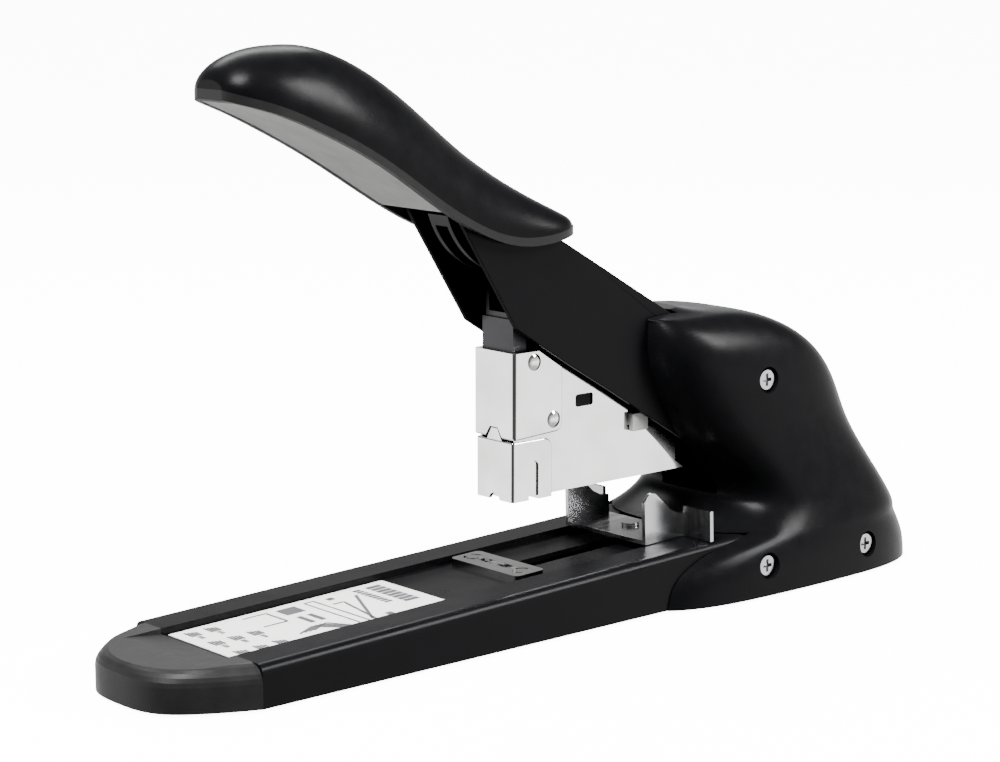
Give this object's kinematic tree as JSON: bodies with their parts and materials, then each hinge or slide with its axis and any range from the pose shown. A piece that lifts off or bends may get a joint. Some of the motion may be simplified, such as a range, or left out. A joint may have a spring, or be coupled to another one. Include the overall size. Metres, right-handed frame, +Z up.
{
  "type": "stapler",
  "caption": "Heavy-duty stapler: black plastic rear housing, long steel base, bright nose and magazine, raised lever with a padded grip",
  "frame": {"origin": "middle of the bounding box at the bottom of the rubber feet", "axes": "+Z up, -X towards the front cap, +X towards the rear housing, Y across the tool"},
  "size_m": [0.2702, 0.0712, 0.1595],
  "materials": {
    "black_plastic": "satin black moulded plastic",
    "grey_plastic": "dark grey moulded plastic",
    "light_plastic": "light grey moulded plastic",
    "black_steel": "smooth black enamel",
    "bright_steel": "bright nickel plate",
    "dark_steel": "hardened dark steel",
    "pin_steel": "ground steel",
    "label_film": "printed white film",
    "foot_rubber": "matt black rubber"
  },
  "bodies": {
    "base": {"base_channel": "black_steel", "floor_plate": "black_steel", "front_cap": "grey_plastic", "instruction_label": "label_film", "anvil_plate": "bright_steel", "anvil_rivets": "pin_steel", "base_cover": "black_plastic", "cover_screws": "pin_steel", "rubber_feet": "foot_rubber", "pivot_frame": "black_steel", "lever_pin": "pin_steel", "magazine_pin": "pin_steel", "pin_clips": "pin_steel", "magazine_bushes": "pin_steel", "housing_left": "black_plastic", "housing_right": "black_plastic", "housing_spine": "black_plastic", "housing_screws": "pin_steel", "return_spring": "dark_steel"},
    "paper_stop": {"paper_stop": "pin_steel", "stop_shoe": "black_plastic", "stop_rivet": "pin_steel"},
    "lever": {"lever_arm": "black_steel", "lever_bush": "pin_steel", "drive_bracket": "dark_steel", "bracket_pins": "pin_steel", "grip_shell": "black_plastic", "grip_trim": "grey_plastic", "grip_underside": "light_plastic", "grip_core": "dark_steel"},
    "magazine": {"magazine_body": "bright_steel", "magazine_carrier": "black_steel", "nose_wrap": "bright_steel", "nose_rivets": "bright_steel"},
    "ram": {"driver_ram": "dark_steel", "driver_blade": "dark_steel", "ram_pin": "pin_steel"},
    "rail": {"staple_rail": "pin_steel", "nose_guide": "bright_steel", "staple_strip": "bright_steel", "follower_rod": "pin_steel", "follower_spring": "pin_steel"},
    "follower": {"staple_follower": "dark_steel"},
    "catch": {"release_catch": "light_plastic"}
  },
  "joints": [
    {"name": "lever_swing", "type": "hinge", "parent": "base", "child": "lever", "pos_m": [0.0831, 0, 0.0468], "axis": [0, -1, 0], "range_deg": [0, 20.5], "stiffness_Nm_per_rad": 1.5, "springref_deg": -34.38},
    {"name": "magazine_swing", "type": "hinge", "parent": "base", "child": "magazine", "pos_m": [0.0911, 0, 0.0298], "axis": [0, -1, 0], "range_deg": [0, 9.8]},
    {"name": "ram_slide", "type": "slide", "parent": "magazine", "child": "ram", "axis": [0, 0, -1], "range_m": [0, 0.017]},
    {"name": "rail_slide", "type": "slide", "parent": "magazine", "child": "rail", "axis": [1, 0, 0], "range_m": [-0.06, 0]},
    {"name": "follower_slide", "type": "slide", "parent": "rail", "child": "follower", "axis": [1, 0, 0], "range_m": [0, 0.018], "stiffness_N_per_m": 120, "springref_m": -0.01, "deforming": ["follower_spring"]},
    {"name": "catch_slide", "type": "slide", "parent": "magazine", "child": "catch", "axis": [1, 0, 0], "range_m": [0, 0.0025], "stiffness_N_per_m": 400, "springref_m": -0.003},
    {"name": "stop_slide", "type": "slide", "parent": "base", "child": "paper_stop", "axis": [0.9994, 0, 0.034], "range_m": [-0.03, 0]}
  ],
  "couplings": [
    {"joint": "magazine_swing", "follows": "lever_swing", "ratio": 0.478},
    {"joint": "ram_slide", "follows": "lever_swing", "m_per_rad": 0.04751}
  ]
}
